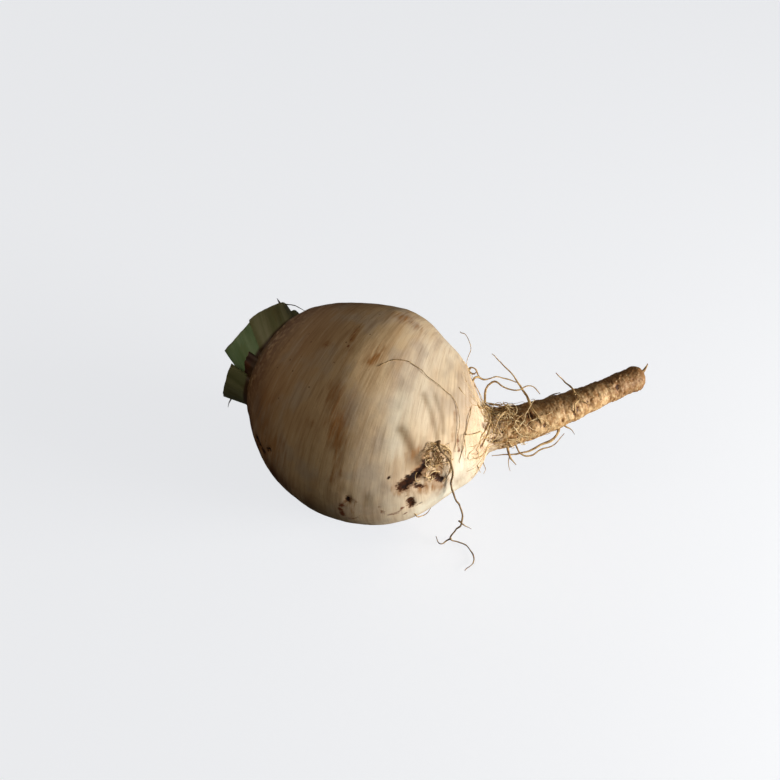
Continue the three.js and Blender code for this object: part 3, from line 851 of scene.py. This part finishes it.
# The nest: fine dried rootlets curled over the corky scar beside the neck, some in rings
# round it and more in small loops across it. They grew there and dried where they lay.
NEST_RIM = [
    (79.4, 66), (79.3, 60), (81, 54), (84, 53), (86.2, 60), (87.1, 72), (86.6, 84), (84.6, 92),
]
NEST_RIM_STARTS = (0, 0, 1, 2)
NEST_RIM_ENDS = (6, 7, 8)
NEST_MIDDLE = (83, 70)
NEST_RIMS = 7
NEST_LOOPS = 26
NEST_LOOP_ALONG = (78.5, 86.5, 83)
NEST_LOOP_ROUND = (52, 80, 66)
NEST_LOOP_SIZE = (0.8, 2.8)
NEST_LOOP_POINTS = 8
NEST_FROM_AXIS = 26
NEST_THICK = (0.2, 0.5)
NEST_END = 0.2

nest = []
for i in range(NEST_RIMS):
    first = draw.choice(NEST_RIM_STARTS)
    last = draw.choice(NEST_RIM_ENDS)
    inwards = draw.uniform(0, 0.25)
    route = []
    for along, around in NEST_RIM[first:last]:
        along += inwards * (NEST_MIDDLE[0] - along) + draw.uniform(-0.4, 0.4)
        around += inwards * (NEST_MIDDLE[1] - around) + draw.uniform(-2, 2)
        route.append((along, around, draw.uniform(0.2, 1.6)))
    nest.append((route_on_root(route), draw.uniform(*NEST_THICK), NEST_END))
for i in range(NEST_LOOPS):
    middle = (draw.triangular(*NEST_LOOP_ALONG), draw.triangular(*NEST_LOOP_ROUND))
    size = draw.uniform(*NEST_LOOP_SIZE)
    flat = draw.uniform(0.4, 1)
    start = draw.uniform(0, 2 * math.pi)
    sweep = draw.uniform(1.5, 5) * draw.choice((-1, 1))
    lift = draw.uniform(0.3, 2)
    route = []
    for j in range(NEST_LOOP_POINTS):
        angle = start + sweep * j / (NEST_LOOP_POINTS - 1)
        sunk = 0.6 if j == 0 else 0
        route.append((
            middle[0] + size * flat * math.cos(angle),
            middle[1] + math.degrees(size * math.sin(angle) / NEST_FROM_AXIS),
            lift * math.sin(math.pi * (j + 0.5) / NEST_LOOP_POINTS) - sunk,
        ))
    nest.append((route_on_root(route), draw.uniform(*NEST_THICK), NEST_END))
threads("nest", nest[::2], cream)
threads("nest_dry", nest[1::2], tan)

# Loose threads: hair-thin dried rootlets that lie on the bulb or stand off its neck. Most
# start or end under the skin. The whisker is the last of the taproot's own tip, and its
# places are those of the frame.
LOOSE_THREADS = [
    (0.25, [
        (57.9, 17, -0.2), (61.8, 11, 0.3), (67.1, 7, 0.4), (71.2, 7, 0.4), (77.5, 10, 0.5),
        (83.8, 14, 0.5), (87.2, 18, 0.5), (89, 28, 0.5), (89, 41, 0.6), (87.8, 61, 0.6),
    ]),
    (0.45, [(96.4, -40, 2), (93.2, 21, 0.4), (91.2, 44, 0.5), (90.4, 56, 0.4), (88.9, 72, 0.5)]),
    (0.35, [(88.9, 6, 0.2), (91.6, 10, 0.4), (93.7, 13, 0.4), (96.4, 7, 0.3)]),
    (0.35, [(88.1, -45, 9.2), (93.9, -37, 14.7), (95.5, -38, 14.3), (92.6, -43, 3.1), (92, -43, -1)]),
    (0.8, [(93, -37, -1), (95.5, -38, 3.7), (96.5, -35, 7), (97.5, -32, 10.5)]),
    (0.4, [(95.5, 88, -0.5), (96.5, 122, 0.9), (97, 123, 4.2), (96.2, 124, 4.1)]),
    (0.4, [(93.5, 80, -0.5), (94.4, 100, 0.4), (95, 112, 1.6)]),
    (0.45, [(105.9, 131, 3), (105, 131, 6.5), (104.9, 131, 9.3)]),
    (0.5, [(76.8, 116, -0.5), (78.1, 134, 1.3), (79.6, 135, 1.1), (80.6, 135, -0.6)]),
    (0.9, [(128.5, 120, -1), (129.8, 126, 1), (131.4, 129, 2.7), (131.7, 128, 5)]),
]
LOOSE_END = 0.2
WHISKER = [(109, 16, 47), (111.2, 17.5, 48), (112.2, 18.5, 49), (112.9, 19.2, 50.4)]
WHISKER_THICK = (2.2, 0.4)
loose = [(route_on_root(route), thick, LOOSE_END) for thick, route in LOOSE_THREADS]
loose.append((WHISKER, *WHISKER_THICK))
threads("loose_threads", loose, tan)

# Torn strands: fibres of the leaf stalks that were pulled out when the leaves were cut. Each
# is given by the angle round the crown, how far out from its middle and how high.
TORN_STRANDS = [
    (1.1, [(-30, 20, 3), (-34, 20.3, 5.4), (-36, 20.6, 7)]),
    (0.5, [(-44, 20, 3.5), (-52, 21, 2), (-58, 22, -1), (-60, 22.5, -5)]),
    (0.9, [(112, 22.5, -1), (124, 25.5, 0.2), (127, 28, 0)]),
    (0.6, [(6, 19, 4.5), (3, 19.5, 6.2)]),
]
strands = []
for thick, route in TORN_STRANDS:
    around, out, level = np.array(route, float).T
    strands.append((at_crown(np.radians(around), out, level), thick, THREAD_END))
threads("torn_strands", strands, dry)

# The table: a plain pale board, wide enough to fill the picture from any side. It gives off
# light of its own, so that it looks evenly pale, and none of that light reaches the turnip.
TABLE_WIDTH = 60

bpy.ops.mesh.primitive_plane_add(size=TABLE_WIDTH)
table = bpy.context.object
table.name = "table"
board, tree, shader = new_finish("pale_board")
shader.inputs["Base Color"].default_value = colour("#8c9095")
shader.inputs["Roughness"].default_value = 0.9
shader.inputs["Emission Color"].default_value = colour("#f4f6fa")
shader.inputs["Emission Strength"].default_value = 0.8
table.visible_diffuse = False
table.visible_glossy = False
table.data.materials.append(board)

# The camera looks down on the turnip at the photograph's angle, and the lights are placed as
# it sees them. The light is a soft window low on the right, with a little from the room and
# from a pale far wall behind.
AIM = Vector((8.83, 7.18, 47.49)) * MM
CAMERA_DISTANCE = 620 * MM
CAMERA_ELEVATION = math.radians(45)
LENS = 71.54
SENSOR_WIDTH = 36
LIGHTS = [
    ("window", (0.94, -0.2, 0.27), 0.6, 0.3, 7.4, "#fff8ee"),
    ("room", (-0.45, 0.35, 0.8), 1.6, 1.4, 4.6, "#ffecd0"),
    ("far_wall", (-0.6, 0.65, -0.47), 1.6, 1.4, 3.6, "#f8efe2"),
]
ROOM_BRIGHTNESS = 0.035


def soft_light(name, way, distance, size, watts, tone):
    """A square soft light, whose way is right, up and towards the camera. Sizes in metres."""
    right, up, near = way
    sine, cosine = math.sin(CAMERA_ELEVATION), math.cos(CAMERA_ELEVATION)
    place = Vector((right, up * sine - near * cosine, up * cosine + near * sine)).normalized()
    bpy.ops.object.light_add(type="AREA", location=AIM + place * distance)
    lamp = bpy.context.object
    lamp.name = name
    lamp.rotation_euler = place.to_track_quat("Z", "Y").to_euler()
    lamp.data.size = size
    lamp.data.energy = watts
    lamp.data.color = colour(tone)[:3]


for light in LIGHTS:
    soft_light(*light)
world = bpy.data.worlds.new("room")
world.use_nodes = True
background = world.node_tree.nodes["Background"]
background.inputs["Color"].default_value = colour("#fff6e8")
background.inputs["Strength"].default_value = ROOM_BRIGHTNESS
bpy.context.scene.world = world
bpy.context.scene.view_settings.view_transform = "Standard"

from_table = Vector((0, -math.cos(CAMERA_ELEVATION), math.sin(CAMERA_ELEVATION)))
bpy.ops.object.camera_add(location=AIM + from_table * CAMERA_DISTANCE)
camera = bpy.context.object
camera.rotation_euler = from_table.to_track_quat("Z", "Y").to_euler()
camera.data.lens = LENS
camera.data.sensor_width = SENSOR_WIDTH
bpy.context.scene.camera = camera
